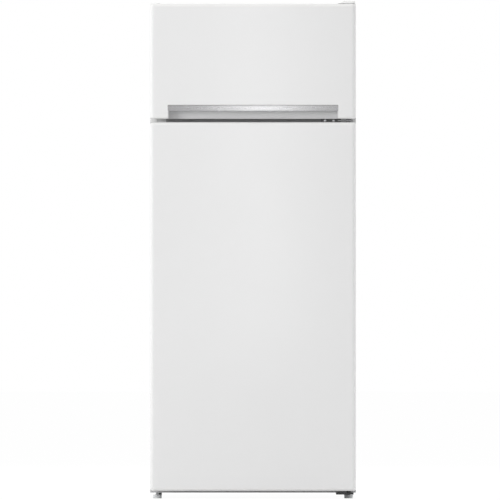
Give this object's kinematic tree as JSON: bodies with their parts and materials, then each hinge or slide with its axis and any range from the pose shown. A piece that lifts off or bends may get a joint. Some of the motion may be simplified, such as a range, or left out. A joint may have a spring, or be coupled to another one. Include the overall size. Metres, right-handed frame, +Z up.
{
  "type": "top freezer refrigerator",
  "caption": "Free-standing white refrigerator with a freezer on top: two doors hinged on the right, a metal grip bar, shelves, drawers, door bins and a rear condenser.",
  "frame": {"origin": "on the floor, under the middle of the cabinet with its doors and rear spacers", "axes": "+Z up, -Y out of the front towards the user, +X to the hinge side"},
  "size_m": [0.6, 0.61, 1.451],
  "materials": {
    "door_paint": "satin",
    "cabinet_paint": "satin",
    "divider_paint": "satin",
    "bracket_paint": "satin",
    "white_plastic": "satin",
    "liner_plastic": "gloss",
    "bin_plastic": "gloss",
    "handle_metal": "satin",
    "recess_plastic": "matte",
    "gasket_rubber": "matte",
    "foam": "matte",
    "galvanised_steel": "satin",
    "black_paint": "satin",
    "copper": "satin",
    "aluminium": "satin",
    "shelf_glass": "gloss",
    "clear_plastic": "gloss",
    "steel": "satin",
    "black_rubber": "matte",
    "black_plastic": "matte",
    "grey_plastic": "matte",
    "lens_plastic": "gloss",
    "wire_coating": "satin"
  },
  "bodies": {
    "cabinet": {"cabinet_wrapper": "cabinet_paint", "back_panel": "galvanised_steel", "bottom_deck": "galvanised_steel", "base_plate": "galvanised_steel", "front_base_rail": "divider_paint", "cabinet_foam": "foam", "fridge_liner": "liner_plastic", "freezer_liner": "liner_plastic", "divider_strip": "divider_paint", "hole_plugs": "white_plastic", "top_hinge": "steel", "top_hinge_cover": "white_plastic", "middle_hinge": "bracket_paint", "bottom_hinge": "black_paint", "fasteners": "steel", "compressor": "black_paint", "compressor_motor": "steel", "compressor_grommets": "black_rubber", "starter_cover": "black_plastic", "drip_tray": "black_plastic", "drain_hose": "grey_plastic", "condenser": "black_paint", "condenser_clips": "black_plastic", "filter_drier": "copper", "refrigerant_pipes": "copper", "freezer_evaporator": "aluminium", "fridge_evaporator": "aluminium", "roller_axles": "steel", "control_housing": "white_plastic", "lamp_cover": "lens_plastic", "lamp": "lens_plastic", "thermostat": "grey_plastic", "glass_shelves": "shelf_glass", "shelf_trims": "white_plastic", "freezer_shelf": "wire_coating"},
    "freezer_door": {"freezer_door_skin": "door_paint", "freezer_door_foam": "foam", "freezer_door_liner": "liner_plastic", "freezer_door_top_cap": "white_plastic", "freezer_door_bottom_cap": "white_plastic", "freezer_handle_bar": "handle_metal", "freezer_handle_recess": "recess_plastic", "freezer_door_gasket": "gasket_rubber", "freezer_door_bins": "bin_plastic"},
    "fridge_door": {"fridge_door_skin": "door_paint", "fridge_door_foam": "foam", "fridge_door_liner": "liner_plastic", "fridge_door_top_cap": "white_plastic", "fridge_door_bottom_cap": "white_plastic", "fridge_door_gasket": "gasket_rubber", "fridge_door_bins": "bin_plastic", "bottle_rack": "bin_plastic"},
    "left_crisper": {"left_crisper": "clear_plastic"},
    "right_crisper": {"right_crisper": "clear_plastic"},
    "light_switch": {"light_switch_button": "white_plastic"},
    "thermostat_knob": {"control_knob": "white_plastic"},
    "left_foot": {"left_foot": "grey_plastic"},
    "right_foot": {"right_foot": "grey_plastic"},
    "left_roller": {"left_roller": "black_plastic"},
    "right_roller": {"right_roller": "black_plastic"}
  },
  "joints": [
    {"name": "freezer_door_hinge", "type": "hinge", "parent": "cabinet", "child": "freezer_door", "pos_m": [0.278, -0.275, 1.107], "axis": [0, 0, 1], "range_deg": [0, 120]},
    {"name": "fridge_door_hinge", "type": "hinge", "parent": "cabinet", "child": "fridge_door", "pos_m": [0.278, -0.275, 0.023], "axis": [0, 0, 1], "range_deg": [0, 120]},
    {"name": "left_crisper_slide", "type": "slide", "parent": "cabinet", "child": "left_crisper", "axis": [0, -1, 0], "range_m": [0, 0.155]},
    {"name": "right_crisper_slide", "type": "slide", "parent": "cabinet", "child": "right_crisper", "axis": [0, -1, 0], "range_m": [0, 0.155]},
    {"name": "light_switch_travel", "type": "slide", "parent": "cabinet", "child": "light_switch", "axis": [0, -1, 0], "range_m": [0, 0.004]},
    {"name": "thermostat_turn", "type": "hinge", "parent": "cabinet", "child": "thermostat_knob", "pos_m": [-0.062, -0.205, 1.058], "axis": [0, -1, 0], "range_deg": [0, 270]},
    {"name": "left_foot_turn", "type": "hinge", "parent": "cabinet", "child": "left_foot", "pos_m": [-0.279, -0.221, 0], "axis": [0, 0, 1], "range_deg": [-1080, 1080]},
    {"name": "right_foot_turn", "type": "hinge", "parent": "cabinet", "child": "right_foot", "pos_m": [0.279, -0.221, 0], "axis": [0, 0, 1], "range_deg": [-1080, 1080]},
    {"name": "left_roller_spin", "type": "hinge", "parent": "cabinet", "child": "left_roller", "pos_m": [-0.276, 0.245, 0.016], "axis": [1, 0, 0], "continuous": true},
    {"name": "right_roller_spin", "type": "hinge", "parent": "cabinet", "child": "right_roller", "pos_m": [0.276, 0.245, 0.016], "axis": [1, 0, 0], "continuous": true}
  ],
  "couplings": [
    {"joint": "left_crisper_slide", "follows": "fridge_door_hinge", "m_per_rad": 0.074},
    {"joint": "right_crisper_slide", "follows": "fridge_door_hinge", "m_per_rad": 0.074},
    {"joint": "light_switch_travel", "follows": "fridge_door_hinge", "m_per_rad": 0.001909}
  ]
}
